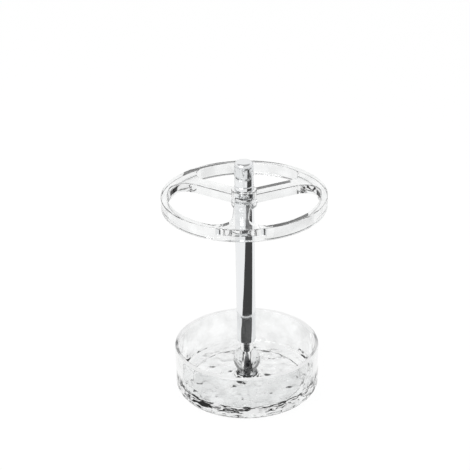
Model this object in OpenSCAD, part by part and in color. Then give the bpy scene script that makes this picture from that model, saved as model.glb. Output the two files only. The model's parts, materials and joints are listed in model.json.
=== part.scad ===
// Toothbrush holder: a clear drip tray and a clear three-way ring, clamped on one polished post.
// Sizes are in millimetres. Z points up and the origin is the middle of the tray's foot.
// The front spoke of the ring points along -Y.

/* [Tray] */
// Outer diameter at the rim
tray_d = 93.6; // [80:0.2:120]
// Height of the rim above the table
tray_h = 30.6; // [24:0.2:45]
// Thickness of the wall
tray_wall = 3; // [2:0.1:5]
// How much the wall leans in from the rim to the foot, on the radius
tray_draft = 0.4; // [0:0.1:1.5]
// Height of the inner floor above the table
floor_z = 6; // [5:0.1:8]
// Radius of the outer lower corner
corner_r = 4; // [2:0.1:6]
// Radius between the inner floor and the wall
floor_fillet_r = 4; // [2:0.1:8]
// Rounding of the rim's two edges
rim_r = 1; // [0.4:0.05:1.2]
// Width of the ring that the tray stands on
foot_w = 5; // [3:0.1:8]
// Depth of the recess inside that ring
recess_h = 1.2; // [0.6:0.1:2]

/* [Ball and neck] */
// Diameter of the ball in the middle of the tray
ball_d = 17.5; // [16:0.1:22]
// Height of the ball's centre above the inner floor
ball_h = 12; // [10.5:0.1:16]
// Radius between the ball's foot and the floor
ball_foot_r = 4.5; // [4:0.1:6]
// Diameter of the neck that carries the post
neck_d = 8.4; // [7.6:0.1:9.6]
// Height of the neck's top above the ball's centre
neck_h = 15; // [12:0.1:24]
// Small radii at the neck's top and foot
neck_edge_r = 0.6; // [0.2:0.05:0.8]
// Diameter of the nut's pocket under the ball
pocket_d = 12; // [11:0.1:14]
// Depth of that pocket above the table
pocket_h = 6.5; // [5.8:0.1:8]

/* [Post] */
// Outer diameter of the tube and of all that continues it
post_d = 12; // [11:0.1:14]
// Wall of the tube
tube_wall = 0.8; // [0.5:0.05:1.2]
// Thickness of the bush's flange under the tube
flange_h = 1; // [0.6:0.1:2]
// Length of the bush inside the tube
bush_h = 8; // [4:0.5:20]
// Height of the round nut on top of the hub
lock_nut_h = 8.3; // [7:0.1:14]
// Height of the cap
cap_h = 15.5; // [12:0.1:25]
// Rounding of the cap's top edge
cap_round_r = 2; // [0.5:0.1:4]
// Rounding of the edges at the seams
seam_r = 0.5; // [0.2:0.05:0.8]

/* [Ring] */
// Outer diameter of the ring
ring_d = 104; // [90:0.5:130]
// Height of the ring's underside above the table
ring_z = 128.8; // [90:0.2:160]
// Height of the ring's band
ring_h = 8.3; // [7.6:0.1:12]
// Thickness of the ring's band
ring_wall = 4.2; // [3.4:0.1:7]
// Number of places for brushes, with a spoke between each two
places = 3; // [3:1:4]
// Width of a spoke
spoke_w = 10.2; // [8:0.1:13]
// Height of a spoke below the ring's top
spoke_h = 5.8; // [4:0.1:7]
// Rounding of the edges of the band and of the spokes
edge_r = 0.6; // [0.3:0.05:1.2]
// Radius between a spoke and the band
spoke_fillet_r = 10; // [6:0.5:12]
// Radius between a spoke and the hub
hub_fillet_r = 4.5; // [2:0.1:5]
// Diameter of the hub
hub_d = 16; // [15:0.1:20]
// Height of the hub's collar above the ring
collar_h = 3; // [1:0.1:6]
// Rounding of the hub's edges
hub_edge_r = 0.8; // [0.3:0.1:1]
// Depth of the socket that takes the tube
socket_h = 3; // [1.5:0.1:4]
// Thickness of the web that is clamped between the tube and the round nut
web_h = 3; // [2:0.1:4]

/* [Rod and nut] */
// Diameter of the threaded rod
rod_d = 4; // [3:0.1:4.5]
// Height of the rod's lower end above the table
rod_z = 1.6; // [1:0.1:2]
// Length of the rod inside the cap
rod_in_cap = 8; // [5:0.5:10]
// Chamfer of the rod's ends
rod_chamfer = 0.4; // [0.2:0.05:0.6]
// Width of the hexagon nut across its flats
nut_flats = 7; // [6.5:0.1:8]
// Height of the hexagon nut
nut_h = 3.2; // [2:0.1:3.4]
// Outer diameter of the washer
washer_d = 9; // [8.5:0.1:10]
// Thickness of the washer
washer_h = 0.8; // [0.5:0.05:1]

/* [Clearances] */
// Gap round the rod in the plain holes
rod_gap = 0.2; // [0.1:0.05:0.3]
// Gap between the rod and a threaded hole
thread_gap = 0.05; // [0.02:0.01:0.1]
// Gap between the bush and the tube
bush_gap = 0.05; // [0.02:0.01:0.15]
// Gap round the tube and the round nut in the hub's sockets
socket_gap = 0.15; // [0.05:0.01:0.25]
// Space past the rod's end in the cap
cap_hole_gap = 1; // [0.4:0.1:2]

/* [Hidden] */

// Radii
tray_r = tray_d / 2;
ball_r = ball_d / 2;
neck_r = neck_d / 2;
post_r = post_d / 2;
tube_in_r = post_r - tube_wall;
ring_r = ring_d / 2;
ring_in_r = ring_r - ring_wall;
hub_r = hub_d / 2;
rod_r = rod_d / 2;
rod_hole_r = rod_r + rod_gap;
thread_r = rod_r + thread_gap;
socket_r = post_r + socket_gap;

// Heights above the table, from the foot up
ball_z = floor_z + ball_h;
neck_z = ball_z + neck_h;
tube_z = neck_z + flange_h;
web_z = ring_z + socket_h;
lock_nut_z = web_z + web_h;
ring_top_z = ring_z + ring_h;
spoke_z = ring_top_z - spoke_h;
cap_z = lock_nut_z + lock_nut_h;
rod_top_z = cap_z + rod_in_cap;
washer_z = pocket_h - washer_h;
nut_z = washer_z - nut_h;

// The compartments' inner corners end a little inside the hub, so the hub's round wall stays whole
hub_cover_share = 0.05;
cut_hub_r = hub_r * (1 - hub_cover_share);
// The band is thicker by this share of its wall where a spoke's underside meets it
band_pad_share = 0.15;
// Smallest angle of the hub's wall that shows in half a compartment
least_hub_a = 2;

// Largest part of the room beside it that a rounding takes
round_limit_share = 0.98;

// Depth by which a cut passes the surface that it opens
over = 1;

// Steps of a quarter round, by how large and how visible it is
ball_steps = 20;
round_steps = 8;
edge_steps = 5;
small_steps = 3;
// Steps of the band's arc in one compartment
band_steps = 24;
// Facets of whole circles
$fn = 128;
hex_sides = 6;

// A point at radius r and angle a, and the points of an arc about the centre c
function polar(r, a) = [r * cos(a), r * sin(a)];
function arc(c, r, a0, a1, steps) =
    [for (i = [0:steps]) c + polar(r, a0 + (a1 - a0) * i / steps)];

// A solid of revolution from points of radius and height
module turned(points) {
    rotate_extrude() polygon(points);
}

// A round bar from z0 to z1 with a rounded edge at each end and a round hole through it
module turned_sleeve(r, hole_r, z0, z1, r0, r1, steps1) {
    turned(concat(
        [[hole_r, z0]],
        arc([r - r0, z0 + r0], r0, -90, 0, small_steps),
        arc([r - r1, z1 - r1], r1, 0, 90, steps1),
        [[hole_r, z1]]
    ));
}

// Tray with its ball, its neck, the rod's hole and the nut's pocket
module base_tray() {
    wall_r = tray_r - tray_draft;
    in_top_r = tray_r - tray_wall;
    in_low_r = wall_r - tray_wall;
    foot_in_r = wall_r - corner_r - foot_w;
    rim_round = min(rim_r, tray_wall / 2 * round_limit_share);
    // The foot's and the neck's radii touch the ball's round at these two angles
    foot_reach = ball_r + ball_foot_r;
    foot_a = asin((ball_h - ball_foot_r) / foot_reach);
    neck_reach = ball_r + neck_edge_r;
    neck_a = acos((neck_r + neck_edge_r) / neck_reach);
    ball_c = [0, ball_z];
    color("aliceblue", 0.5)
    turned(concat(
        [[rod_hole_r, pocket_h], [rod_hole_r, neck_z]],
        arc([neck_r - neck_edge_r, neck_z - neck_edge_r], neck_edge_r, 90, 0, small_steps),
        arc(ball_c + polar(neck_reach, neck_a), neck_edge_r, 180, 180 + neck_a, small_steps),
        arc(ball_c, ball_r, neck_a, -foot_a, ball_steps),
        arc(ball_c + polar(foot_reach, -foot_a), ball_foot_r, 180 - foot_a, 270, round_steps),
        arc([in_low_r - floor_fillet_r, floor_z + floor_fillet_r], floor_fillet_r, -90, 0, round_steps),
        arc([in_top_r + rim_round, tray_h - rim_round], rim_round, 180, 90, edge_steps),
        arc([tray_r - rim_round, tray_h - rim_round], rim_round, 90, 0, edge_steps),
        arc([wall_r - corner_r, corner_r], corner_r, 0, -90, round_steps),
        arc([foot_in_r, recess_h], recess_h, -90, -180, small_steps),
        [[pocket_d / 2, recess_h], [pocket_d / 2, pocket_h]]
    ));
}

// Hexagon nut with both rims chamfered
module base_nut() {
    flat_r = nut_flats / 2;
    middle = nut_h / 2;
    color("silver")
    translate([0, 0, nut_z])
    difference() {
        intersection() {
            cylinder(r = flat_r / cos(180 / hex_sides), h = nut_h, $fn = hex_sides);
            turned([[0, 0], [flat_r, 0], [flat_r + middle, middle], [flat_r, nut_h], [0, nut_h]]);
        }
        translate([0, 0, -over]) cylinder(r = thread_r, h = nut_h + 2 * over);
    }
}

// Flat washer between the nut and the tray
module base_washer() {
    color("silver")
    translate([0, 0, washer_z])
    difference() {
        cylinder(d = washer_d, h = washer_h);
        translate([0, 0, -over]) cylinder(r = rod_hole_r, h = washer_h + 2 * over);
    }
}

// Rod that clamps the whole stack from the nut to the cap
module tie_rod() {
    color("gray")
    turned([
        [0, rod_z], [rod_r - rod_chamfer, rod_z], [rod_r, rod_z + rod_chamfer],
        [rod_r, rod_top_z - rod_chamfer], [rod_r - rod_chamfer, rod_top_z], [0, rod_top_z]
    ]);
}

// Flanged bush that seats on the neck and centres the tube on the rod
module foot_bush() {
    spigot_r = tube_in_r - bush_gap;
    color("silver")
    turned([
        [rod_hole_r, neck_z], [post_r, neck_z], [post_r, tube_z], [spigot_r, tube_z],
        [spigot_r, tube_z + bush_h], [rod_hole_r, tube_z + bush_h]
    ]);
}

// Polished tube from the bush up into the hub's socket
module post_tube() {
    color("lightsteelblue")
    turned([[tube_in_r, tube_z], [post_r, tube_z], [post_r, web_z], [tube_in_r, web_z]]);
}

// Outline of one compartment, its middle along +X, grown by d all round
function compartment(d) =
    let (
        half = 180 / places,
        side = spoke_w / 2,
        out_dist = ring_in_r - spoke_fillet_r,
        in_dist = max(cut_hub_r + hub_fillet_r, (side + hub_fillet_r) / sin(half - least_hub_a)),
        out_a = half - asin((side + spoke_fillet_r) / out_dist),
        in_a = half - asin((side + hub_fillet_r) / in_dist),
        out_r = spoke_fillet_r + d,
        in_r = hub_fillet_r + d,
        facing = half + 90
    )
    concat(
        [for (i = [1:band_steps - 1]) polar(ring_in_r + d, out_a * (2 * i / band_steps - 1))],
        arc(polar(out_dist, out_a), out_r, out_a, facing, round_steps),
        arc(polar(in_dist, in_a), in_r, facing, in_a + 180, edge_steps),
        arc(polar(in_dist, -in_a), in_r, -in_a - 180, -facing, edge_steps),
        arc(polar(out_dist, -out_a), out_r, -facing, -out_a, round_steps)
    );

// The solid that cuts one compartment and rounds the edges of the band and the spokes round it
module compartment_cut() {
    turn = [for (i = [0:edge_steps]) 90 * i / edge_steps];
    // Each level is a height and how far the outline has grown there
    levels = concat(
        [[ring_z - over, edge_r]],
        [for (a = turn) [ring_z + edge_r * (1 - cos(a)), edge_r * (1 - sin(a))]],
        [for (a = turn) [ring_top_z - edge_r * (1 - sin(a)), edge_r * (1 - cos(a))]],
        [[ring_top_z + over, edge_r]]
    );
    outline_n = len(compartment(0));
    points = [for (l = levels) for (p = compartment(l[1])) [p[0], p[1], l[0]]];
    sides = [
        for (k = [0:len(levels) - 2]) for (i = [0:outline_n - 1])
            let (j = (i + 1) % outline_n, a = k * outline_n, b = a + outline_n)
            each [[a + i, b + i, b + j], [a + i, b + j, a + j]]
    ];
    last = (len(levels) - 1) * outline_n;
    ends = [
        [for (i = [0:outline_n - 1]) i],
        [for (i = [outline_n - 1:-1:0]) last + i]
    ];
    polyhedron(points, concat(sides, ends));
}

// The space under the spokes, between the hub and the band
module spoke_recess() {
    depth = ring_h - spoke_h;
    translate([0, 0, ring_z - over])
    difference() {
        cylinder(r = ring_in_r - ring_wall * band_pad_share, h = depth + over);
        translate([0, 0, -over]) cylinder(r = cut_hub_r, h = depth + 3 * over);
    }
}

// Band, spokes and hub, moulded in one piece
module brush_ring() {
    first_spoke_a = -90;
    color("aliceblue", 0.5)
    difference() {
        union() {
            difference() {
                turned_sleeve(ring_r, 0, ring_z, ring_top_z, edge_r, edge_r, small_steps);
                for (k = [0:places - 1])
                    rotate(first_spoke_a + (k + 0.5) * 360 / places) compartment_cut();
                spoke_recess();
            }
            turned_sleeve(hub_r, 0, ring_z, ring_top_z + collar_h, hub_edge_r, hub_edge_r, edge_steps);
        }
        translate([0, 0, ring_z - over]) cylinder(r = socket_r, h = socket_h + over);
        translate([0, 0, lock_nut_z]) cylinder(r = socket_r, h = ring_h + collar_h);
        translate([0, 0, ring_z]) cylinder(r = rod_hole_r, h = ring_h);
    }
}

// Round nut that clamps the hub on the tube
module lock_nut() {
    color("lightsteelblue")
    turned_sleeve(post_r, thread_r, lock_nut_z, cap_z, seam_r, seam_r, small_steps);
}

// Cap with a rounded top, screwed on the rod's end
module post_cap() {
    color("lightsteelblue")
    difference() {
        turned_sleeve(post_r, 0, cap_z, cap_z + cap_h, seam_r, cap_round_r, round_steps);
        translate([0, 0, cap_z - over])
            cylinder(r = thread_r, h = over + rod_in_cap + cap_hole_gap);
    }
}

base_tray();
base_nut();
base_washer();
tie_rod();
foot_bush();
post_tube();
brush_ring();
lock_nut();
post_cap();
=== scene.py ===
"""Toothbrush holder: a clear tray and a clear three-way ring on a polished post.

The finishes, the high-resolution clear and polished pieces, and the studio they stand in.
Lengths are in metres.
"""

import json
import math

import bmesh
import bpy
from bpy.props import FloatProperty, FloatVectorProperty, IntProperty, PointerProperty
from mathutils import Matrix, Vector

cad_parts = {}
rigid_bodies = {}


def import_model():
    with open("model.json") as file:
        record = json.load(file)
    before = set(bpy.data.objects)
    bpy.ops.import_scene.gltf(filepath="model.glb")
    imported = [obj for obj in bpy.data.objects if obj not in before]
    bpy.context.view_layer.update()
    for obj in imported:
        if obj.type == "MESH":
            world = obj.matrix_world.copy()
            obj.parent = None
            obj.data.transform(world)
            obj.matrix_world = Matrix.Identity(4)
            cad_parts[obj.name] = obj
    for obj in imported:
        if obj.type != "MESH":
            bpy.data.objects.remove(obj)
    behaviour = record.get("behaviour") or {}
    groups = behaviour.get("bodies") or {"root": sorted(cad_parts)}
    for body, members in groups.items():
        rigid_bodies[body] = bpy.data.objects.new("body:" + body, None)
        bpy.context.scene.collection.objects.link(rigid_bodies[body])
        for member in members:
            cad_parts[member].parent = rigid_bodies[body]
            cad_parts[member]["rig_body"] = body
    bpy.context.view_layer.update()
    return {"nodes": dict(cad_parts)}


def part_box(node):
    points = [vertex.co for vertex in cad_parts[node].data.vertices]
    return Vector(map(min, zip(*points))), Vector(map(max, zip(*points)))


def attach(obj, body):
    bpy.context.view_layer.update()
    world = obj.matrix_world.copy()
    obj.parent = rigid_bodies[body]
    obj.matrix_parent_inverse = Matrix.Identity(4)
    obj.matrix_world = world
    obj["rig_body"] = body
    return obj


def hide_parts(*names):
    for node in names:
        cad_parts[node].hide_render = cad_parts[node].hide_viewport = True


bl_info = {
    "name": "Toothbrush Holder",
    "version": (1, 0, 0),
    "blender": (4, 5, 0),
    "location": "View3D > Sidebar > Holder",
    "description": "Builds the clear and polished pieces of a toothbrush holder",
    "category": "Object",
}

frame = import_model()

TRAY_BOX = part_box("base_tray")
RING_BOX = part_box("brush_ring")
TUBE_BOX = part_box("post_tube")
BUSH_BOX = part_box("foot_bush")
LOCK_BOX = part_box("lock_nut")
CAP_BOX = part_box("post_cap")
ROD_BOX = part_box("tie_rod")

FULL_TURN = 2 * math.pi
FRONT = -math.pi / 2


# Sizes and colours that a user may change


class HolderSizes(bpy.types.PropertyGroup):
    """Sizes of the holder's pieces"""

    rim_height: FloatProperty(
        name="Rim height", description="Height of the tray's rim", default=0.0306, unit="LENGTH"
    )
    tray_wall: FloatProperty(
        name="Tray wall", description="Thickness of the tray's wall", default=0.003, unit="LENGTH"
    )
    tray_draft: FloatProperty(
        name="Draft", description="How much the wall leans in at the foot",
        default=0.0004, unit="LENGTH",
    )
    floor_height: FloatProperty(
        name="Floor height", description="Height of the tray's inner floor",
        default=0.006, unit="LENGTH",
    )
    corner_radius: FloatProperty(
        name="Corner radius", description="Radius of the tray's outer lower corner",
        default=0.004, unit="LENGTH",
    )
    floor_fillet: FloatProperty(
        name="Floor fillet", description="Radius between the floor and the wall",
        default=0.004, unit="LENGTH",
    )
    rim_radius: FloatProperty(
        name="Rim radius", description="Rounding of the rim", default=0.001, unit="LENGTH"
    )
    foot_width: FloatProperty(
        name="Foot width", description="Width of the ring that the tray stands on",
        default=0.005, unit="LENGTH",
    )
    recess_depth: FloatProperty(
        name="Recess depth", description="Depth of the recess under the tray",
        default=0.0012, unit="LENGTH",
    )
    ball_radius: FloatProperty(
        name="Ball radius", description="Radius of the ball in the tray",
        default=0.00875, unit="LENGTH",
    )
    ball_height: FloatProperty(
        name="Ball height", description="Height of the ball's centre above the floor",
        default=0.012, unit="LENGTH",
    )
    ball_foot: FloatProperty(
        name="Ball foot", description="Radius between the ball's foot and the floor",
        default=0.0045, unit="LENGTH",
    )
    neck_radius: FloatProperty(
        name="Neck radius", description="Radius of the neck", default=0.0042, unit="LENGTH"
    )
    neck_edge: FloatProperty(
        name="Neck edges", description="Small radii at the neck's ends",
        default=0.0006, unit="LENGTH",
    )
    pocket_radius: FloatProperty(
        name="Pocket radius", description="Radius of the nut's pocket", default=0.006, unit="LENGTH"
    )
    pocket_height: FloatProperty(
        name="Pocket height", description="Height of the pocket's ceiling",
        default=0.0065, unit="LENGTH",
    )
    rod_hole: FloatProperty(
        name="Rod hole", description="Radius of the plain holes round the rod",
        default=0.0022, unit="LENGTH",
    )
    tube_wall: FloatProperty(
        name="Tube wall", description="Wall of the polished tube", default=0.0008, unit="LENGTH"
    )
    flange_height: FloatProperty(
        name="Flange", description="Thickness of the bush's flange", default=0.001, unit="LENGTH"
    )
    bush_gap: FloatProperty(
        name="Bush gap", description="Gap between the bush and the tube",
        default=0.00005, unit="LENGTH",
    )
    seam_radius: FloatProperty(
        name="Seam radius", description="Rounding of the edges at the seams",
        default=0.0005, unit="LENGTH",
    )
    cap_round: FloatProperty(
        name="Cap rounding", description="Rounding of the cap's top", default=0.002, unit="LENGTH"
    )
    cap_hole_depth: FloatProperty(
        name="Cap hole", description="Depth of the cap's threaded hole",
        default=0.009, unit="LENGTH",
    )
    band_height: FloatProperty(
        name="Band height", description="Height of the ring's band", default=0.0083, unit="LENGTH"
    )
    band_wall: FloatProperty(
        name="Band wall", description="Thickness of the ring's band", default=0.0042, unit="LENGTH"
    )
    spoke_width: FloatProperty(
        name="Spoke width", description="Width of a spoke", default=0.0102, unit="LENGTH"
    )
    spoke_height: FloatProperty(
        name="Spoke height", description="Height of a spoke below the ring's top",
        default=0.0058, unit="LENGTH",
    )
    edge_radius: FloatProperty(
        name="Edge radius", description="Rounding of the ring's edges",
        default=0.0006, unit="LENGTH",
    )
    spoke_fillet: FloatProperty(
        name="Spoke fillet", description="Radius between a spoke and the band",
        default=0.01, unit="LENGTH",
    )
    hub_fillet: FloatProperty(
        name="Hub fillet", description="Radius between a spoke and the hub",
        default=0.0045, unit="LENGTH",
    )
    hub_radius: FloatProperty(
        name="Hub radius", description="Radius of the hub", default=0.008, unit="LENGTH"
    )
    hub_cut_radius: FloatProperty(
        name="Hub cut radius", description="Radius that the compartments reach at the hub",
        default=0.0076, unit="LENGTH",
    )
    band_pad: FloatProperty(
        name="Band pad", description="Extra thickness of the band under a spoke",
        default=0.00063, unit="LENGTH",
    )
    hub_edge: FloatProperty(
        name="Hub edges", description="Rounding of the hub's edges", default=0.0008, unit="LENGTH"
    )
    socket_radius: FloatProperty(
        name="Socket radius", description="Radius of the hub's sockets",
        default=0.00615, unit="LENGTH",
    )
    rod_radius: FloatProperty(
        name="Rod radius", description="Outer radius of the rod's thread",
        default=0.002, unit="LENGTH",
    )
    thread_pitch: FloatProperty(
        name="Pitch", description="Pitch of the rod's thread", default=0.0007, unit="LENGTH"
    )
    thread_depth: FloatProperty(
        name="Thread depth", description="Depth of the rod's thread", default=0.00035, unit="LENGTH"
    )
    thread_length: FloatProperty(
        name="Thread length", description="Length of thread at each end",
        default=0.0095, unit="LENGTH",
    )
    places: IntProperty(
        name="Places", description="Number of compartments in the ring", default=3, min=3, max=4
    )


class HolderColours(bpy.types.PropertyGroup):
    """Colours of the holder's finishes"""

    plastic: FloatVectorProperty(
        name="Plastic", description="Tint of the clear plastic",
        subtype="COLOR", size=3, default=(0.975, 0.982, 0.982), min=0, max=1,
    )
    chrome: FloatVectorProperty(
        name="Chrome", description="Colour of the polished metal",
        subtype="COLOR", size=3, default=(0.83, 0.84, 0.85), min=0, max=1,
    )
    steel: FloatVectorProperty(
        name="Steel", description="Colour of the plated nut and washer",
        subtype="COLOR", size=3, default=(0.60, 0.61, 0.62), min=0, max=1,
    )
    oxide: FloatVectorProperty(
        name="Black oxide", description="Colour of the blackened rod",
        subtype="COLOR", size=3, default=(0.06, 0.06, 0.065), min=0, max=1,
    )


# Outlines and meshes

# Steps along each kind of arc and round a whole turn
BALL_STEPS = 48
ROUND_STEPS = 14
SMALL_STEPS = 8
BAND_STEPS = 72
FILLET_STEPS = 18
EDGE_STEPS = 10
TURN_STEPS = 256
# Faces that meet at more than this angle keep a crease
SMOOTH_ANGLE = math.radians(32)
# Points nearer to each other than this are one point
WELD_REACH = 0.000001
# Points nearer to the axis than this lie on it
AXIS_REACH = 1e-7


def arc(centre, radius, start, end, steps):
    """Points of an arc in degrees, as (radius, height) pairs or (x, y) pairs"""
    points = []
    for i in range(steps + 1):
        angle = math.radians(start + (end - start) * i / steps)
        points.append((centre[0] + radius * math.cos(angle), centre[1] + radius * math.sin(angle)))
    return points


def polar(distance, angle):
    """The point at a distance and an angle in degrees"""
    turn = math.radians(angle)
    return Vector((distance * math.cos(turn), distance * math.sin(turn)))


def circle(radius, height):
    """Points of a level circle round the axis"""
    points = []
    for i in range(TURN_STEPS):
        angle = FULL_TURN * i / TURN_STEPS
        points.append((radius * math.cos(angle), radius * math.sin(angle), height))
    return points


def weld(mesh_bm):
    """Makes one point of points that lie in one place"""
    bmesh.ops.remove_doubles(mesh_bm, verts=mesh_bm.verts, dist=WELD_REACH)


def smooth(mesh):
    """Shades a mesh smooth up to the usual angle"""
    mesh.shade_smooth()
    mesh.set_sharp_from_angle(angle=SMOOTH_ANGLE)


def link_object(name, data):
    """An object of the scene with the given data"""
    made = bpy.data.objects.new(name, data)
    bpy.context.scene.collection.objects.link(made)
    return made


def add_object(name, mesh_bm, material):
    """An object from a bmesh, welded, with its faces turned outwards and shaded smooth"""
    weld(mesh_bm)
    bmesh.ops.recalc_face_normals(mesh_bm, faces=mesh_bm.faces)
    mesh = bpy.data.meshes.new(name)
    mesh_bm.to_mesh(mesh)
    mesh_bm.free()
    mesh.materials.append(material)
    smooth(mesh)
    return link_object(name, mesh)


def weight_normals(piece):
    """Flat faces keep flat normals beside the roundings"""
    weighted = piece.modifiers.new("weighted_normals", "WEIGHTED_NORMAL")
    weighted.mode = "FACE_AREA"
    weighted.keep_sharp = True


def revolve(profile):
    """A closed surface of revolution from a section's points of radius and height, in order"""
    made = bmesh.new()
    rings = []
    for radius, height in profile:
        points = [(0, 0, height)] if radius < AXIS_REACH else circle(radius, height)
        rings.append([made.verts.new(point) for point in points])
    for low, high in zip(rings, rings[1:] + rings[:1]):
        if len(low) == 1 and len(high) == 1:
            continue
        for i in range(TURN_STEPS):
            j = (i + 1) % TURN_STEPS
            if len(low) == 1:
                made.faces.new((low[0], high[j], high[i]))
            elif len(high) == 1:
                made.faces.new((low[i], low[j], high[0]))
            else:
                made.faces.new((low[i], low[j], high[j], high[i]))
    return made


def sleeve(radius, hole, low, high, edge):
    """Section of a round bar with rounded ends and, where hole isn't zero, a hole"""
    return (
        [(hole, low)]
        + arc((radius - edge, low + edge), edge, -90, 0, SMALL_STEPS)
        + arc((radius - edge, high - edge), edge, 0, 90, SMALL_STEPS)
        + [(hole, high)]
    )


def place(piece, node):
    """The piece stands for a node and rides on its body"""
    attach(piece, piece_body(node))
    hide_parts(node)


def piece_body(node):
    """The body that a node belongs to"""
    return frame["nodes"][node]["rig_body"]


# Nodes that several shaders are made of


def connect(tree, value, socket):
    """Feeds a socket from another one, or sets it to a value"""
    if isinstance(value, bpy.types.NodeSocket):
        tree.links.new(value, socket)
    else:
        socket.default_value = value


def noise_level(tree, where, scale, detail, roughness):
    """Level of a noise texture at a point"""
    noise = tree.nodes.new("ShaderNodeTexNoise")
    connect(tree, scale, noise.inputs["Scale"])
    noise.inputs["Detail"].default_value = detail
    noise.inputs["Roughness"].default_value = roughness
    tree.links.new(where, noise.inputs["Vector"])
    return noise.outputs["Fac"]


def remap(tree, value, from_low, from_high, to_low, to_high):
    """A value moved from one range to another, held inside it"""
    node = tree.nodes.new("ShaderNodeMapRange")
    node.inputs["From Min"].default_value = from_low
    node.inputs["From Max"].default_value = from_high
    connect(tree, to_low, node.inputs["To Min"])
    connect(tree, to_high, node.inputs["To Max"])
    tree.links.new(value, node.inputs["Value"])
    return node.outputs["Result"]


def reckon(tree, operation, *values):
    """Result of a Math node on sockets and numbers"""
    node = tree.nodes.new("ShaderNodeMath")
    node.operation = operation
    for value, socket in zip(values, node.inputs):
        connect(tree, value, socket)
    return node.outputs[0]


def both(tree, first, second):
    """1 where both factors are 1"""
    return reckon(tree, "MULTIPLY", first, second)


def blend_colours(tree, factor, first, second):
    """The first colour where the factor is 0, the second where it is 1"""
    node = tree.nodes.new("ShaderNodeMix")
    node.data_type = "RGBA"
    tree.links.new(factor, node.inputs["Factor"])
    connect(tree, first, node.inputs["A"])
    connect(tree, second, node.inputs["B"])
    return node.outputs["Result"]


def mix_shaders(tree, factor, first, second):
    """The first shader where the factor is 0, the second where it is 1"""
    node = tree.nodes.new("ShaderNodeMixShader")
    for value, socket in zip((factor, first, second), node.inputs):
        tree.links.new(value, socket)
    return node.outputs["Shader"]


def object_point(tree):
    """The point on the piece, in the frame that all pieces share"""
    return tree.nodes.new("ShaderNodeTexCoord").outputs["Object"]


def height_of(tree, vector):
    """Third coordinate of a vector"""
    parts = tree.nodes.new("ShaderNodeSeparateXYZ")
    tree.links.new(vector, parts.inputs[0])
    return parts.outputs["Z"]


def length_of(tree, vector):
    """Length of a vector"""
    node = tree.nodes.new("ShaderNodeVectorMath")
    node.operation = "LENGTH"
    tree.links.new(vector, node.inputs[0])
    return node.outputs["Value"]


def new_material(name):
    """A material with a Principled shader, its tree and the shader"""
    material = bpy.data.materials.new(name)
    material.use_nodes = True
    tree = material.node_tree
    shader = tree.nodes["Principled BSDF"]
    return material, tree, shader


def cover(tree, shader):
    """Puts a shader on the surface"""
    tree.links.new(shader, tree.nodes["Material Output"].inputs["Surface"])


# Marks that all finishes share, as a shader node group

# Levels of the noise between which a finger mark fades in, those for a cloud, and the clouds' size
MARK_FADE = (0.52, 0.78)
CLOUD_FADE = (0.38, 0.62)
CLOUD_SIZE = 90.0


def new_group(name, inputs, outputs):
    """An empty shader node group with named sockets"""
    group = bpy.data.node_groups.new(name, "ShaderNodeTree")
    for label, default in inputs:
        socket = group.interface.new_socket(label, in_out="INPUT", socket_type="NodeSocketFloat")
        socket.default_value = default
    for label in outputs:
        group.interface.new_socket(label, in_out="OUTPUT", socket_type="NodeSocketFloat")
    return group


def handled_surface():
    """Finger marks and wiped streaks: a roughness between two values, a height, and two masks"""
    name = "Handled Surface"
    if name in bpy.data.node_groups:
        return bpy.data.node_groups[name]
    group = new_group(
        name,
        [
            ("Clean Roughness", 0.0), ("Marked Roughness", 0.05),
            ("Mark Size", 60.0), ("Ripple Size", 40.0),
        ],
        ["Roughness", "Height", "Marks", "Clouds"],
    )
    entry = group.nodes.new("NodeGroupInput")
    leave = group.nodes.new("NodeGroupOutput")
    where = object_point(group)
    noise = noise_level(group, where, entry.outputs["Mark Size"], detail=4, roughness=0.6)
    marks = remap(group, noise, *MARK_FADE, 0.0, 1.0)
    clean, marked = entry.outputs["Clean Roughness"], entry.outputs["Marked Roughness"]
    clouds = noise_level(group, where, CLOUD_SIZE, detail=3, roughness=0.55)
    ripple = noise_level(group, where, entry.outputs["Ripple Size"], detail=1, roughness=0.4)
    results = {
        "Roughness": remap(group, marks, 0.0, 1.0, clean, marked),
        "Height": ripple,
        "Marks": marks,
        "Clouds": remap(group, clouds, *CLOUD_FADE, 0.0, 1.0),
    }
    for label, result in results.items():
        group.links.new(result, leave.inputs[label])
    return group


def use_group(tree, group, **values):
    """A group placed in a material, with its own values"""
    node = tree.nodes.new("ShaderNodeGroup")
    node.node_tree = group
    for label, value in values.items():
        node.inputs[label.replace("_", " ")].default_value = value
    return node


# Finishes

PLASTIC_IOR = 1.49
# What the plastic's shadow leaves of the light
SHADOW_TINT = (0.93, 0.94, 0.94, 1)
# Rise over which the ripple calms down, and what is left of it
CALM_RISE = 0.006
CALM_SHARE = 0.25
# Rise over which the rim goes dull, and its roughness
WEAR_RISE = 0.0006
WORN_ROUGHNESS = 0.3
# A height above every piece
NOWHERE = 1.0

# Painted light and painted shade on the plastic, for light thrown about in it: size of the dark
# mottles, levels of the noise between which they fade, their two brightnesses, and the rise over
# which the dark one goes pale
DEEP_MARKS = 130.0
DEEP_FADE = (0.48, 0.53)
DEEP_PAINTED_SHADE = 0.03
DEEP_PAINTED_LIGHT = 0.9
PALE_RISE = 0.004

# The ball in the tray: how far from the axis it counts, and how much higher the painted dark
# mottles go
BALL_REACH = 0.0105
BALL_FADE = 0.002
BALL_RISE = 0.009
# Painted shade on the ball's limb, darkening the plastic's colour there: from face on to edge on,
# its top, its foot and its brightness
LIMB_FACING = (0.2, 0.5)
LIMB_TOP = (0.018, 0.021)
LIMB_FOOT = (0.0085, 0.01)
LIMB_PAINTED_SHADE = (0.04, 0.04, 0.04, 1)

# Brightness of the marks on the plated steel, as a share of its colour's
ZINC_MARKS = 0.8


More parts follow.
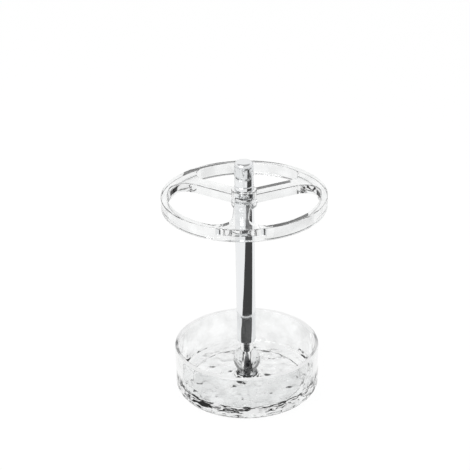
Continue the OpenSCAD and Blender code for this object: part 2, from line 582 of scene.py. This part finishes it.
def add_bump(tree, height, shader, strength, distance):
    """A bump of the given height on the shader's normal"""
    bump = tree.nodes.new("ShaderNodeBump")
    bump.inputs["Strength"].default_value = strength
    bump.inputs["Distance"].default_value = distance
    tree.links.new(height, bump.inputs["Height"])
    tree.links.new(bump.outputs["Normal"], shader.inputs["Normal"])


def ball_mask(tree, where):
    """1 near the post's axis, 0 away from it"""
    flat = tree.nodes.new("ShaderNodeVectorMath")
    flat.operation = "MULTIPLY"
    flat.inputs[1].default_value = (1, 1, 0)
    tree.links.new(where, flat.inputs[0])
    away = length_of(tree, flat.outputs["Vector"])
    return remap(tree, away, BALL_REACH, BALL_REACH + BALL_FADE, 1.0, 0.0)


def painted_limb_shade_mask(tree, where, height):
    """Mask of the painted shade: 1 on the limb of the ball's lower part, 0 elsewhere"""
    facing = tree.nodes.new("ShaderNodeLayerWeight").outputs["Facing"]
    limb = remap(tree, facing, *LIMB_FACING, 0.0, 1.0)
    low = remap(tree, height, *LIMB_TOP, 1.0, 0.0)
    high = remap(tree, height, *LIMB_FOOT, 0.0, 1.0)
    return both(tree, both(tree, both(tree, low, high), ball_mask(tree, where)), limb)


def add_painted_inner_light(tree, path, shader, deep, pale_above):
    """Painted light: a glow on the plastic that stands in for light thrown about inside it too
    often to follow, instead of the shader.

    It takes over where a ray has turned back more than deep times. A turn at the inner side counts
    once more. The painted glow has dark mottles of painted shade low down, and is pale above a
    height.
    """
    inner_side = tree.nodes.new("ShaderNodeNewGeometry").outputs["Backfacing"]
    turns = reckon(
        tree, "MULTIPLY_ADD", path.outputs["Is Reflection Ray"], inner_side,
        path.outputs["Glossy Depth"],
    )
    where = object_point(tree)
    mottle = noise_level(tree, where, DEEP_MARKS, detail=2, roughness=0.5)
    height = reckon(
        tree, "MULTIPLY_ADD", ball_mask(tree, where), -BALL_RISE, height_of(tree, where)
    )
    # Painted light and painted shade: a glow, dark and mottled low down, pale above
    lowest = remap(tree, height, pale_above, pale_above + PALE_RISE, DEEP_PAINTED_SHADE, DEEP_PAINTED_LIGHT)
    glow = tree.nodes.new("ShaderNodeEmission")
    tree.links.new(remap(tree, mottle, *DEEP_FADE, lowest, DEEP_PAINTED_LIGHT), glow.inputs["Color"])
    caught = reckon(tree, "GREATER_THAN", turns, deep)
    return mix_shaders(tree, caught, shader, glow.outputs["Emission"])


def clear_plastic(name, ripple_size, ripple_height, cloud, deep, calm_above, worn_above):
    """Polished clear plastic with finger marks.

    It has a mould ripple that calms down above one height, and a dull rim above another. Faint
    clouds take its tint down to a share of it, and painted shade darkens it on the ball's limb.
    After more than deep turns a ray sees the painted inner light, a glow with painted dark mottles
    low down, which goes pale where the ripple calms down.
    """
    if name in bpy.data.materials:
        return bpy.data.materials[name]
    material, tree, shader = new_material(name)
    tint = bpy.context.scene.holder_colours.plastic
    shader.inputs["Transmission Weight"].default_value = 1.0
    shader.inputs["IOR"].default_value = PLASTIC_IOR
    surface = use_group(
        tree, handled_surface(), Clean_Roughness=0.0, Marked_Roughness=0.03, Mark_Size=70.0,
        Ripple_Size=ripple_size,
    )
    where = object_point(tree)
    height = height_of(tree, where)
    wear = remap(tree, height, worn_above, worn_above + WEAR_RISE, 0.0, WORN_ROUGHNESS)
    rough = reckon(tree, "MAXIMUM", surface.outputs["Roughness"], wear)
    tree.links.new(rough, shader.inputs["Roughness"])
    calm = remap(tree, height, calm_above, calm_above + CALM_RISE, 1.0, CALM_SHARE)
    waves = reckon(tree, "MULTIPLY", surface.outputs["Height"], calm)
    add_bump(tree, waves, shader, strength=1.0, distance=ripple_height)
    clouded = blend_colours(
        tree, surface.outputs["Clouds"], (*tint, 1), (*(c * cloud for c in tint), 1)
    )
    # Painted shade: the plastic's colour darkened on the ball's limb
    shaded = blend_colours(tree, painted_limb_shade_mask(tree, where, height), clouded, LIMB_PAINTED_SHADE)
    tree.links.new(shaded, shader.inputs["Base Color"])
    path = tree.nodes.new("ShaderNodeLightPath")
    inside = add_painted_inner_light(tree, path, shader.outputs["BSDF"], deep, calm_above)
    through = tree.nodes.new("ShaderNodeBsdfTransparent")
    through.inputs["Color"].default_value = SHADOW_TINT
    cover(tree, mix_shaders(tree, path.outputs["Is Shadow Ray"], inside, through.outputs["BSDF"]))
    return material


def polished_chrome():
    """Bright plated metal with faint finger marks"""
    name = "mirror_chrome"
    if name in bpy.data.materials:
        return bpy.data.materials[name]
    material, tree, shader = new_material(name)
    colour = bpy.context.scene.holder_colours.chrome
    shader.inputs["Base Color"].default_value = (*colour, 1)
    shader.inputs["Metallic"].default_value = 1.0
    surface = use_group(
        tree, handled_surface(), Clean_Roughness=0.06, Marked_Roughness=0.1, Mark_Size=110.0,
        Ripple_Size=60.0,
    )
    tree.links.new(surface.outputs["Roughness"], shader.inputs["Roughness"])
    add_bump(tree, surface.outputs["Height"], shader, strength=0.02, distance=0.0003)
    return material


def mottled_steel(name, colour, worn, clean, marked):
    """Slightly dull steel, zinc plated or blackened, with marks of a second colour"""
    if name in bpy.data.materials:
        return bpy.data.materials[name]
    material, tree, shader = new_material(name)
    shader.inputs["Metallic"].default_value = 1.0
    surface = use_group(
        tree, handled_surface(), Clean_Roughness=clean, Marked_Roughness=marked, Mark_Size=500.0,
        Ripple_Size=900.0,
    )
    tree.links.new(surface.outputs["Roughness"], shader.inputs["Roughness"])
    add_bump(tree, surface.outputs["Height"], shader, strength=0.25, distance=0.0002)
    mottled = blend_colours(tree, surface.outputs["Marks"], (*colour, 1), (*worn, 1))
    tree.links.new(mottled, shader.inputs["Base Color"])
    return material


# Pieces

# A thread's flanks are this much steeper than a plain zigzag's, which leaves the crest flat
CREST_GAIN = 1.25
# Steps round the rod, and rows of points to a turn of its thread
ROD_STEPS = 48
ROWS_A_PITCH = 8


def tray_section(sizes):
    """Section of the tray, from the rod's hole over the ball, the floor and the rim to the foot"""
    outer = TRAY_BOX[1].x
    neck_top = TRAY_BOX[1].z
    wall_r = outer - sizes.tray_draft
    inner_top = outer - sizes.tray_wall
    inner_low = wall_r - sizes.tray_wall
    foot_inner = wall_r - sizes.corner_radius - sizes.foot_width
    floor_z = sizes.floor_height
    rim_z = sizes.rim_height
    edge = sizes.neck_edge
    rim = sizes.rim_radius
    fillet = sizes.floor_fillet
    corner = sizes.corner_radius
    recess = sizes.recess_depth
    points = [(sizes.rod_hole, sizes.pocket_height), (sizes.rod_hole, neck_top)]
    points += arc((sizes.neck_radius - edge, neck_top - edge), edge, 90, 0, SMALL_STEPS)
    ball = Vector((0, floor_z + sizes.ball_height))
    neck_reach = sizes.ball_radius + edge
    neck_a = math.degrees(math.acos((sizes.neck_radius + edge) / neck_reach))
    foot_reach = sizes.ball_radius + sizes.ball_foot
    foot_a = math.degrees(math.asin((sizes.ball_height - sizes.ball_foot) / foot_reach))
    foot = ball + polar(foot_reach, -foot_a)
    points += arc(ball + polar(neck_reach, neck_a), edge, 180, 180 + neck_a, SMALL_STEPS)
    points += arc(ball, sizes.ball_radius, neck_a, -foot_a, BALL_STEPS)
    points += arc(foot, sizes.ball_foot, 180 - foot_a, 270, ROUND_STEPS)
    points += arc((inner_low - fillet, floor_z + fillet), fillet, -90, 0, ROUND_STEPS)
    points += arc((inner_top + rim, rim_z - rim), rim, 180, 90, SMALL_STEPS)
    points += arc((outer - rim, rim_z - rim), rim, 90, 0, SMALL_STEPS)
    points += arc((wall_r - corner, corner), corner, 0, -90, ROUND_STEPS)
    points += arc((foot_inner, recess), recess, -90, -180, SMALL_STEPS)
    points += [(sizes.pocket_radius, recess), (sizes.pocket_radius, sizes.pocket_height)]
    return points


class HOLDER_OT_tray(bpy.types.Operator):
    """Build the clear tray with its ball, its neck and its foot"""

    bl_idname = "holder.tray"
    bl_label = "Clear Tray"

    def execute(self, context):
        plastic = clear_plastic(
            "rippled_clear_plastic", ripple_size=130.0, ripple_height=0.0014, cloud=0.87,
            deep=1.5, calm_above=0.009, worn_above=0.0294,
        )
        section = tray_section(context.scene.holder_sizes)
        tray = add_object("clear_tray", revolve(section), plastic)
        weight_normals(tray)
        place(tray, "base_tray")
        return {"FINISHED"}


def compartment(sizes, grow):
    """Outline of one compartment with its middle along +X, grown all round"""
    half = 180 / sizes.places
    side = sizes.spoke_width / 2
    band_inner = RING_BOX[1].y - sizes.band_wall
    out_dist = band_inner - sizes.spoke_fillet
    in_dist = sizes.hub_cut_radius + sizes.hub_fillet
    out_a = half - math.degrees(math.asin((side + sizes.spoke_fillet) / out_dist))
    in_a = half - math.degrees(math.asin((side + sizes.hub_fillet) / in_dist))
    facing = half + 90
    out_r = sizes.spoke_fillet + grow
    in_r = sizes.hub_fillet + grow
    points = arc((0, 0), band_inner + grow, -out_a, out_a, BAND_STEPS)[1:-1]
    points += arc(polar(out_dist, out_a), out_r, out_a, facing, FILLET_STEPS)
    points += arc(polar(in_dist, in_a), in_r, facing, in_a + 180, FILLET_STEPS)
    points += arc(polar(in_dist, -in_a), in_r, -in_a - 180, -facing, FILLET_STEPS)
    points += arc(polar(out_dist, -out_a), out_r, -facing, -out_a, FILLET_STEPS)
    return points


def rounded_levels(low, high, radius):
    """Heights from low to high and how far an edge has drawn back at each, for rounded edges"""
    angles = [math.pi / 2 * i / EDGE_STEPS for i in range(EDGE_STEPS + 1)]
    levels = [(low + radius * (1 - math.cos(a)), radius * (1 - math.sin(a))) for a in angles]
    levels += [(high - radius * (1 - math.sin(a)), radius * (1 - math.cos(a))) for a in angles]
    return levels


def loft(made, loops, turned=False):
    """Closed loops of points joined by strips of faces; returns the first and the last vertices"""
    rows = [[made.verts.new(p) for p in loop] for loop in loops]
    for low, high in zip(rows, rows[1:]):
        for i in range(len(low)):
            j = (i + 1) % len(low)
            corners = (low[i], low[j], high[j], high[i])
            made.faces.new(corners[::-1] if turned else corners)
    return rows[0], rows[-1]


def loop_edges(made, row):
    """The edges round a closed row of vertices"""
    return [made.edges.get((a, b)) for a, b in zip(row, row[1:] + row[:1])]


def ring_body(sizes):
    """Band and spokes as one closed surface of full height, with every edge rounded"""
    low = RING_BOX[0].z
    levels = rounded_levels(low, low + sizes.band_height, sizes.edge_radius)
    outer = RING_BOX[1].y
    made = bmesh.new()
    band = []
    for z, back in levels:
        around = arc((0, 0), outer - back, 0, 360, TURN_STEPS)[:-1]
        band.append([(x, y, z) for x, y in around])
    first, last = loft(made, band)
    bottoms = loop_edges(made, first)
    tops = loop_edges(made, last)
    for k in range(sizes.places):
        turn = Matrix.Rotation(FRONT + FULL_TURN * (k + 0.5) / sizes.places, 3, "Z")
        walls = []
        for z, back in levels:
            walls.append([turn @ Vector((x, y, z)) for x, y in compartment(sizes, back)])
        first, last = loft(made, walls, turned=True)
        bottoms += loop_edges(made, first)
        tops += loop_edges(made, last)
    for edges, up in ((bottoms, -1), (tops, 1)):
        bmesh.ops.triangle_fill(
            made, use_beauty=True, use_dissolve=False, edges=edges, normal=(0, 0, up)
        )
    return made


def recess_section(sizes):
    """Section of the space under the spokes, between the hub and the band"""
    bottom = RING_BOX[0].z - sizes.band_height
    ceiling = RING_BOX[0].z + sizes.band_height - sizes.spoke_height
    inner = sizes.hub_cut_radius
    outer = RING_BOX[1].y - sizes.band_wall - sizes.band_pad
    return [(inner, bottom), (outer, bottom), (outer, ceiling), (inner, ceiling)]


def socket_section(sizes):
    """Section of the hub's two sockets and of the rod's hole between them, past both ends"""
    bottom = RING_BOX[0].z - sizes.band_height
    top = RING_BOX[1].z + sizes.band_height
    web_low = TUBE_BOX[1].z
    web_high = LOCK_BOX[0].z
    socket = sizes.socket_radius
    hole = sizes.rod_hole
    return [
        (0, bottom), (socket, bottom), (socket, web_low), (hole, web_low),
        (hole, web_high), (socket, web_high), (socket, top), (0, top),
    ]


def cut_or_join(piece, other, operation):
    """Applies a boolean between two objects and deletes the second"""
    modifier = piece.modifiers.new("boolean", "BOOLEAN")
    modifier.operation = operation
    modifier.solver = "EXACT"
    modifier.object = other
    context = bpy.context
    with context.temp_override(object=piece, active_object=piece, selected_objects=[piece]):
        bpy.ops.object.modifier_apply(modifier=modifier.name)
    mesh = other.data
    bpy.data.objects.remove(other)
    bpy.data.meshes.remove(mesh)


class HOLDER_OT_ring(bpy.types.Operator):
    """Build the clear ring with its spokes and its hub"""

    bl_idname = "holder.ring"
    bl_label = "Clear Ring"

    def execute(self, context):
        sizes = context.scene.holder_sizes
        plastic = clear_plastic(
            "water_clear_plastic", ripple_size=55.0, ripple_height=0.0002, cloud=0.86,
            deep=4.5, calm_above=NOWHERE, worn_above=NOWHERE,
        )
        low, top = RING_BOX[0].z, RING_BOX[1].z
        ring = add_object("clear_ring", ring_body(sizes), plastic)
        hub = sleeve(sizes.hub_radius, 0, low, top, sizes.hub_edge)
        for name, section, operation in (
            ("recess", recess_section(sizes), "DIFFERENCE"),
            ("hub", hub, "UNION"),
            ("sockets", socket_section(sizes), "DIFFERENCE"),
        ):
            cut_or_join(ring, add_object(name, revolve(section), plastic), operation)
        made = bmesh.new()
        made.from_mesh(ring.data)
        weld(made)
        made.to_mesh(ring.data)
        made.free()
        smooth(ring.data)
        weight_normals(ring)
        place(ring, "brush_ring")
        return {"FINISHED"}


class HOLDER_OT_post(bpy.types.Operator):
    """Build the polished tube, its bush, the round nut and the cap"""

    bl_idname = "holder.post"
    bl_label = "Polished Post"

    def execute(self, context):
        sizes = context.scene.holder_sizes
        chrome = polished_chrome()
        post_r = TUBE_BOX[1].x
        inner = post_r - sizes.tube_wall
        spigot = inner - sizes.bush_gap
        hole = sizes.rod_hole
        thread = sizes.rod_radius
        seam = sizes.seam_radius
        tube_low, tube_high = TUBE_BOX[0].z, TUBE_BOX[1].z
        bush_low, bush_high = BUSH_BOX[0].z, BUSH_BOX[1].z
        flange = bush_low + sizes.flange_height
        cap_low, cap_high = CAP_BOX[0].z, CAP_BOX[1].z
        cap_deep = cap_low + sizes.cap_hole_depth
        crown = sizes.cap_round
        sections = {
            "post_tube": ("polished_tube", [
                (inner, tube_low), (post_r, tube_low), (post_r, tube_high), (inner, tube_high),
            ]),
            "foot_bush": ("polished_bush", [
                (hole, bush_low), (post_r, bush_low), (post_r, flange), (spigot, flange),
                (spigot, bush_high), (hole, bush_high),
            ]),
            "lock_nut": (
                "polished_round_nut", sleeve(post_r, thread, LOCK_BOX[0].z, LOCK_BOX[1].z, seam)
            ),
            "post_cap": (
                "polished_cap",
                [(0, cap_deep), (thread, cap_deep), (thread, cap_low)]
                + arc((post_r - seam, cap_low + seam), seam, -90, 0, SMALL_STEPS)
                + arc((post_r - crown, cap_high - crown), crown, 0, 90, ROUND_STEPS)
                + [(0, cap_high)],
            ),
        }
        for node, (name, section) in sections.items():
            piece = add_object(name, revolve(section), chrome)
            weight_normals(piece)
            place(piece, node)
        return {"FINISHED"}


def thread_radius(sizes, angle, height, low, high):
    """Radius of the rod at an angle and a height: a running thread near both ends, plain between"""
    core = sizes.rod_radius - sizes.thread_depth
    near = min(height - low, high - height)
    phase = (height / sizes.thread_pitch - angle / FULL_TURN) % 1
    crest = 1 - abs(2 * phase - 1)
    fade = min(1, max(0, (sizes.thread_length - near) / sizes.thread_pitch))
    start = min(1, max(0, near / sizes.thread_pitch))
    threaded = core + sizes.thread_depth * min(1, crest * CREST_GAIN)
    radius = threaded * fade + sizes.rod_radius * (1 - fade)
    return core + (radius - core) * start


class HOLDER_OT_rod(bpy.types.Operator):
    """Build the threaded rod and finish the nut and the washer"""

    bl_idname = "holder.rod"
    bl_label = "Threaded Rod"

    def execute(self, context):
        sizes = context.scene.holder_sizes
        colours = context.scene.holder_colours
        zinc_marks = [c * ZINC_MARKS for c in colours.steel]
        steel = mottled_steel("zinc_plate", colours.steel, zinc_marks, clean=0.22, marked=0.42)
        black = mottled_steel("black_oxide", colours.oxide, colours.steel, clean=0.15, marked=0.35)
        low, high = ROD_BOX[0].z, ROD_BOX[1].z
        threaded = sizes.thread_length + 2 * sizes.thread_pitch
        rows = int(threaded / sizes.thread_pitch * ROWS_A_PITCH)
        heights = [low + threaded * i / rows for i in range(rows + 1)]
        heights += [high - threaded + threaded * i / rows for i in range(rows + 1)]
        loops = []
        for height in heights:
            loop = []
            for i in range(ROD_STEPS):
                angle = FULL_TURN * i / ROD_STEPS
                radius = thread_radius(sizes, angle, height, low, high)
                loop.append((radius * math.cos(angle), radius * math.sin(angle), height))
            loops.append(loop)
        made = bmesh.new()
        first, last = loft(made, loops)
        made.faces.new(first[::-1])
        made.faces.new(last)
        rod = add_object("threaded_rod", made, black)
        place(rod, "tie_rod")
        for node in ("base_nut", "base_washer"):
            mesh = frame["nodes"][node].data
            mesh.materials.clear()
            mesh.materials.append(steel)
        return {"FINISHED"}


# Studio

# Outlines of the dark cards that lie just over the floor, as distances to the right of the post
# and towards the camera: one in front, and a narrow one straight behind, which shows in the post
# only from behind
FRONT_CARD = (
    (-0.068, 0.022), (-0.075, 0.035), (-0.076, 0.057), (-0.073, 0.099), (-0.043, 0.164),
    (0.002, 0.209), (0.040, 0.240), (0.095, 0.260), (0.175, 0.266), (0.247, 0.263),
    (0.330, 0.200), (0.356, -0.075), (0.307, -0.075), (0.205, -0.032), (0.168, -0.007),
    (0.121, 0.016), (0.091, 0.025), (0.073, 0.029), (0.061, 0.034),
)
BACK_CARD = ((-0.008, -0.03), (0.008, -0.03), (0.17, -0.6), (-0.17, -0.6))
CARD_HEIGHT = -0.00005
CARD_COLOUR = (0.06, 0.06, 0.06, 1)

FLOOR_REACH = 6.0
FLOOR_DROP = 0.0001
FLOOR_COLOUR = (0.9, 0.9, 0.9, 1)
FLOOR_ROUGHNESS = 0.9
# Share of plain white in what shows of the floor. The rest is lit, and keeps the object's shadow
FLOOR_GLOW_SHARE = 0.9
# For the light inside the plastic, the floor goes from white at the first of these distances to
# this dark level at the second, and stays dark beyond it
FLOOR_WHITE = 0.5
FLOOR_DARK = 0.65
BAND_LEVEL = 0.02

# Sine of the elevation, and brightness there, for the light inside the plastic and for what metal
# shows
INNER_SKY = ((0.0, 0.02), (0.18, 0.02), (0.3, 1.0), (0.52, 1.0), (0.62, 0.08), (1.0, 0.08))
METAL_SKY = ((0.0, 0.55), (0.08, 0.55), (0.2, 1.0), (0.6, 1.0), (0.8, 0.45), (1.0, 0.45))
WHITE = (1, 1, 1, 1)

# The lamp: its place with the camera straight in front, its side and its power in watts
KEY_POINT = (-0.5, -0.6, 0.9)
KEY_SIZE = 0.7
KEY_POWER = 6
# The camera's, in millimetres
SENSOR_WIDTH = 36


class HolderStudio(bpy.types.PropertyGroup):
    """The camera and the studio"""

    azimuth: FloatProperty(
        name="Azimuth", description="Camera's turn round the post",
        default=math.radians(4), subtype="ANGLE",
    )
    elevation: FloatProperty(
        name="Elevation", description="Camera's height angle",
        default=math.radians(27.6), subtype="ANGLE",
    )
    roll: FloatProperty(
        name="Roll", description="Camera's clockwise roll",
        default=math.radians(1.11), subtype="ANGLE",
    )
    distance: FloatProperty(
        name="Distance", description="From the camera to the pivot on the post",
        default=1.0, unit="LENGTH",
    )
    pivot_height: FloatProperty(
        name="Pivot", description="Height of the point that the camera is placed from",
        default=0.08, unit="LENGTH",
    )
    aim_side: FloatProperty(
        name="Aim side", description="How far the aim lies right of the post",
        default=-0.0062, unit="LENGTH",
    )
    aim_height: FloatProperty(
        name="Aim height", description="Height of the aim", default=0.10844, unit="LENGTH"
    )
    lens: FloatProperty(
        name="Lens", description="Focal length in millimetres", default=120.02, unit="CAMERA"
    )
    sky: FloatProperty(name="Sky", description="Strength of the white surround", default=1.0)


def turned_to_camera(studio, point):
    """A point given with the camera straight in front, turned to the camera's azimuth"""
    return Matrix.Rotation(studio.azimuth, 3, "Z") @ Vector(point)


def make_camera(studio):
    """Camera at the photograph's viewing angle"""
    data = bpy.data.cameras.new("camera")
    camera = link_object("camera", data)
    data.lens = studio.lens
    data.sensor_width = SENSOR_WIDTH
    back = studio.distance * math.cos(studio.elevation)
    rise = studio.distance * math.sin(studio.elevation)
    stand = turned_to_camera(studio, (0, -back, studio.pivot_height + rise))
    aim = turned_to_camera(studio, (studio.aim_side, 0, studio.aim_height))
    forward = (aim - stand).normalized()
    right = forward.cross(Vector((0, 0, 1))).normalized()
    up = right.cross(forward)
    c, s = math.cos(studio.roll), math.sin(studio.roll)
    turn = Matrix((right * c - up * s, up * c + right * s, -forward)).transposed().to_4x4()
    camera.matrix_world = Matrix.Translation(stand) @ turn
    bpy.context.scene.camera = camera


def ray_factor(tree, *labels):
    """1 for rays of the given kinds, 0 for the rest"""
    path = tree.nodes.new("ShaderNodeLightPath")
    total = path.outputs[labels[0]]
    for label in labels[1:]:
        total = reckon(tree, "MAXIMUM", total, path.outputs[label])
    return total


def seen_factor(tree):
    """1 for rays from the camera and for what metal and glass show, 0 for light on the object"""
    return ray_factor(tree, "Is Camera Ray", "Is Glossy Ray", "Is Transmission Ray")


def mirrored(tree):
    """1 for rays that have been mirrored on the way, 0 for those that went straight through"""
    depth = tree.nodes.new("ShaderNodeLightPath").outputs["Glossy Depth"]
    return reckon(tree, "GREATER_THAN", depth, 0.5)


def inner_factor(tree):
    """1 for rays that were mirrored inside the plastic, 0 for the rest"""
    return both(tree, ray_factor(tree, "Is Transmission Ray"), mirrored(tree))


def metal_factor(tree):
    """1 for rays that a glossy surface has just thrown back, 0 for the rest"""
    return both(tree, ray_factor(tree, "Is Glossy Ray"), ray_factor(tree, "Is Reflection Ray"))


def plane(name, corners, material):
    """A flat card from its corners"""
    made = bmesh.new()
    made.faces.new([made.verts.new(p) for p in corners])
    mesh = bpy.data.meshes.new(name)
    made.to_mesh(mesh)
    made.free()
    mesh.materials.append(material)
    card = link_object(name, mesh)
    return card


def floor_material():
    """Pale floor that keeps a soft shadow, and is dark far off for the light in the plastic"""
    material, tree, shader = new_material("pale_floor")
    shader.inputs["Base Color"].default_value = FLOOR_COLOUR
    shader.inputs["Roughness"].default_value = FLOOR_ROUGHNESS
    shader.inputs["Specular IOR Level"].default_value = 0.0
    where = tree.nodes.new("ShaderNodeNewGeometry").outputs["Position"]
    far = remap(tree, length_of(tree, where), FLOOR_WHITE, FLOOR_DARK, 0.0, 1.0)
    level = remap(tree, both(tree, far, inner_factor(tree)), 0.0, 1.0, 1.0, BAND_LEVEL)
    glow = tree.nodes.new("ShaderNodeEmission")
    tree.links.new(level, glow.inputs["Color"])
    share = reckon(tree, "MULTIPLY", seen_factor(tree), FLOOR_GLOW_SHARE)
    cover(tree, mix_shaders(tree, share, shader.outputs["BSDF"], glow.outputs["Emission"]))
    return material


def card_material():
    """Plain dark card that only mirrored rays see"""
    material, tree, shader = new_material("dark_card")
    tree.nodes.remove(shader)
    glow = tree.nodes.new("ShaderNodeEmission")
    glow.inputs["Color"].default_value = CARD_COLOUR
    clear = tree.nodes.new("ShaderNodeBsdfTransparent")
    cover(tree, mix_shaders(tree, mirrored(tree), clear.outputs["BSDF"], glow.outputs["Emission"]))
    return material


def sky_ramp(tree, height, levels):
    """Brightness of the surround by its height"""
    ramp = tree.nodes.new("ShaderNodeValToRGB")
    tree.links.new(height, ramp.inputs["Fac"])
    stops = ramp.color_ramp.elements
    for position, level in levels[1:-1]:
        stops.new(position).color = (level, level, level, 1)
    for stop, (position, level) in ((stops[0], levels[0]), (stops[-1], levels[-1])):
        stop.position = position
        stop.color = (level, level, level, 1)
    return ramp.outputs["Color"]


def make_world(studio):
    """White surround, in part dark for the light inside the plastic and greyer for metal"""
    world = bpy.data.worlds.new("studio")
    bpy.context.scene.world = world
    world.use_nodes = True
    tree = world.node_tree
    height = height_of(tree, tree.nodes.new("ShaderNodeTexCoord").outputs["Generated"])
    level = WHITE
    for factor, levels in ((metal_factor(tree), METAL_SKY), (inner_factor(tree), INNER_SKY)):
        level = blend_colours(tree, factor, level, sky_ramp(tree, height, levels))
    back = tree.nodes["Background"]
    tree.links.new(level, back.inputs["Color"])
    back.inputs["Strength"].default_value = studio.sky


def make_lamp(studio):
    """A soft lamp that points at the ring"""
    data = bpy.data.lights.new("key_lamp", "AREA")
    data.shape = "SQUARE"
    data.size = KEY_SIZE
    data.energy = KEY_POWER
    lamp = link_object("key_lamp", data)
    stand = turned_to_camera(studio, KEY_POINT)
    lamp.location = stand
    aim = Vector((0, 0, studio.aim_height))
    lamp.rotation_mode = "QUATERNION"
    lamp.rotation_quaternion = (aim - stand).to_track_quat("-Z", "Y")


class HOLDER_OT_stage(bpy.types.Operator):
    """Set the floor, the cards, the lamp, the white surround and the camera"""

    bl_idname = "holder.stage"
    bl_label = "Studio"

    def execute(self, context):
        studio = context.scene.holder_studio
        corners = [
            (x * FLOOR_REACH, y * FLOOR_REACH, -FLOOR_DROP)
            for x, y in ((-1, -1), (1, -1), (1, 1), (-1, 1))
        ]
        plane("floor", corners, floor_material())
        dark = card_material()
        for name, outline in (("front_card", FRONT_CARD), ("back_card", BACK_CARD)):
            corners = [turned_to_camera(studio, (x, -y, CARD_HEIGHT)) for x, y in outline]
            card = plane(name, corners, dark)
            card.visible_camera = False
            card.visible_diffuse = False
            card.visible_shadow = False
        make_lamp(studio)
        make_world(studio)
        make_camera(studio)
        context.scene.view_settings.view_transform = "Standard"
        return {"FINISHED"}


class HOLDER_PT_panel(bpy.types.Panel):
    """The holder's pieces, in the order that they are built"""

    bl_idname = "HOLDER_PT_panel"
    bl_label = "Toothbrush Holder"
    bl_space_type = "VIEW_3D"
    bl_region_type = "UI"
    bl_category = "Holder"

    def draw(self, context):
        column = self.layout.column()
        for operator in STEPS:
            column.operator(operator.bl_idname)


STEPS = (HOLDER_OT_stage, HOLDER_OT_tray, HOLDER_OT_ring, HOLDER_OT_post, HOLDER_OT_rod)
GROUPS = {
    "holder_sizes": HolderSizes,
    "holder_colours": HolderColours,
    "holder_studio": HolderStudio,
}


def register():
    """Registers the classes and puts the settings on the scene"""
    for name, group in GROUPS.items():
        bpy.utils.register_class(group)
        setattr(bpy.types.Scene, name, PointerProperty(type=group))
    for operator in STEPS:
        bpy.utils.register_class(operator)
    bpy.utils.register_class(HOLDER_PT_panel)


def unregister():
    """Takes the classes and the settings away again"""
    bpy.utils.unregister_class(HOLDER_PT_panel)
    for operator in reversed(STEPS):
        bpy.utils.unregister_class(operator)
    for name, group in reversed(GROUPS.items()):
        delattr(bpy.types.Scene, name)
        bpy.utils.unregister_class(group)


def main():
    """Builds the scene"""
    register()
    bpy.ops.holder.stage()
    bpy.ops.holder.tray()
    bpy.ops.holder.ring()
    bpy.ops.holder.post()
    bpy.ops.holder.rod()


if __name__ == "__main__":
    main()
